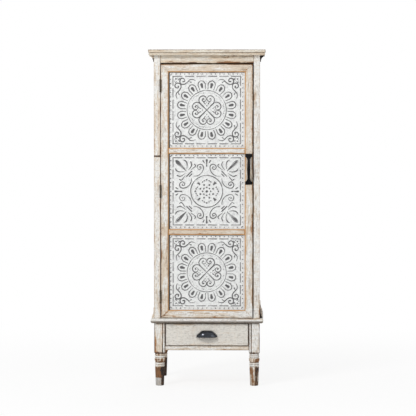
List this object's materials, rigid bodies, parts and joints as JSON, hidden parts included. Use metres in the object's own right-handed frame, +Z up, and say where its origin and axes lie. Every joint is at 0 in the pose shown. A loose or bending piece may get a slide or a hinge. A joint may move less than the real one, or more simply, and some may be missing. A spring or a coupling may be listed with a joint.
{
  "type": "accent cabinet",
  "caption": "Narrow painted accent cabinet on turned legs, with an inset side-hung door of pressed metal panels above a small drawer.",
  "frame": {"origin": "On the floor, under the middle of the box that holds the whole cabinet at rest, with the door and the drawer closed.", "axes": "+Z is up, the front with the door and the drawer faces -Y, and +X points to the right of a viewer who stands before the front."},
  "size_m": [0.45, 0.356, 1.3],
  "materials": {
    "painted_wood": "worn off-white paint over orange-brown wood",
    "bare_wood": "plain unpainted wood inside the drawer",
    "plywood": "thin unpainted board",
    "pressed_metal": "whitewashed pressed tin with dark rubbed lines",
    "black_iron": "matt black cast iron",
    "dark_iron": "dark blue-grey metal, half gloss",
    "aged_steel": "dark aged hinge steel",
    "plain_steel": "plain steel",
    "catch_plastic": "brown plastic"
  },
  "bodies": {
    "carcass": {"back_apron": "painted_wood", "back_panel": "plywood", "base_board": "painted_wood", "base_moulding_left": "painted_wood", "base_moulding_right": "painted_wood", "crown_bead_front": "painted_wood", "crown_bead_left": "painted_wood", "crown_bead_right": "painted_wood", "crown_moulding_left": "painted_wood", "crown_moulding_right": "painted_wood", "drawer_rail": "painted_wood", "drawer_runner_left": "bare_wood", "drawer_runner_right": "bare_wood", "face_rail_top": "painted_wood", "face_stile_left": "painted_wood", "face_stile_right": "painted_wood", "hinge_leaf_cabinet_bottom": "aged_steel", "hinge_leaf_cabinet_middle": "aged_steel", "hinge_leaf_cabinet_top": "aged_steel", "hinge_pins": "aged_steel", "leg_back_left": "painted_wood", "leg_back_right": "painted_wood", "leg_front_left": "painted_wood", "leg_front_right": "painted_wood", "magnetic_catch": "catch_plastic", "shelf_lower": "painted_wood", "shelf_upper": "painted_wood", "side_apron_left": "painted_wood", "side_apron_right": "painted_wood", "side_panel_left": "painted_wood", "side_panel_right": "painted_wood", "top_board": "painted_wood"},
    "door": {"catch_plate": "plain_steel", "door_pull": "black_iron", "door_pull_screws": "plain_steel", "door_rail_bottom": "painted_wood", "door_rail_lower_middle": "painted_wood", "door_rail_top": "painted_wood", "door_rail_upper_middle": "painted_wood", "door_stile_left": "painted_wood", "door_stile_right": "painted_wood", "hinge_leaf_door_bottom": "aged_steel", "hinge_leaf_door_middle": "aged_steel", "hinge_leaf_door_top": "aged_steel", "metal_panel_bottom": "pressed_metal", "metal_panel_middle": "pressed_metal", "metal_panel_top": "pressed_metal", "panel_backing_bottom": "plywood", "panel_backing_middle": "plywood", "panel_backing_top": "plywood"},
    "drawer": {"drawer_front": "painted_wood", "drawer_side_left": "bare_wood", "drawer_side_right": "bare_wood", "drawer_back": "bare_wood", "drawer_bottom": "plywood", "cup_pull": "dark_iron", "cup_pull_screws": "plain_steel"}
  },
  "joints": [
    {"name": "door_hinge", "type": "hinge", "parent": "carcass", "child": "door", "pos_m": [-0.17875, -0.1558, 0.75], "axis": [0, 0, -1], "range_deg": [0, 180]},
    {"name": "drawer_slide", "type": "slide", "parent": "carcass", "child": "drawer", "axis": [0, -1, 0], "range_m": [0, 0.2]}
  ]
}
